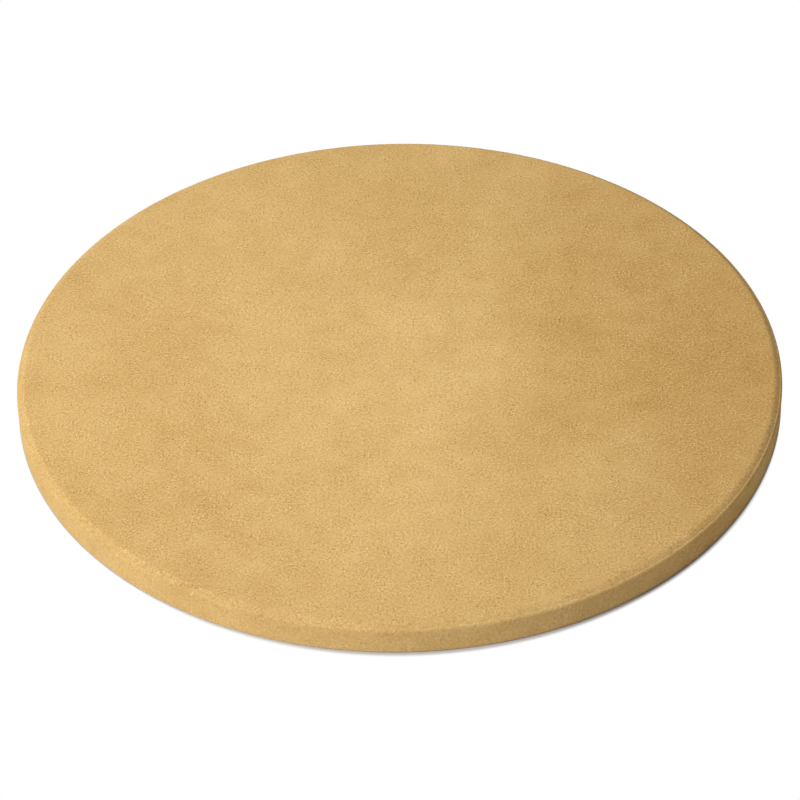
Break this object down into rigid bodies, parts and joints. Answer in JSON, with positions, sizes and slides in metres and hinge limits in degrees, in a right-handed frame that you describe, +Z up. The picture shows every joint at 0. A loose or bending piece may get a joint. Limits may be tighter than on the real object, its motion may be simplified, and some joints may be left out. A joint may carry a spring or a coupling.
{
  "type": "kamado heat deflector",
  "caption": "Round, flat, unglazed ceramic slab with a softly rounded top shoulder, laid between the coals and the grate of a kamado grill to spread the heat.",
  "frame": {"origin": "centre of the underside, on the surface that the slab lies on", "axes": "+Z up through the slab along its axis of symmetry, towards the side with the rounded shoulder; X and Y lie in the underside"},
  "size_m": [0.381, 0.381, 0.016],
  "materials": {
    "cordierite": "matte"
  },
  "bodies": {
    "root": {"deflector_plate": "cordierite"}
  },
  "joints": []
}
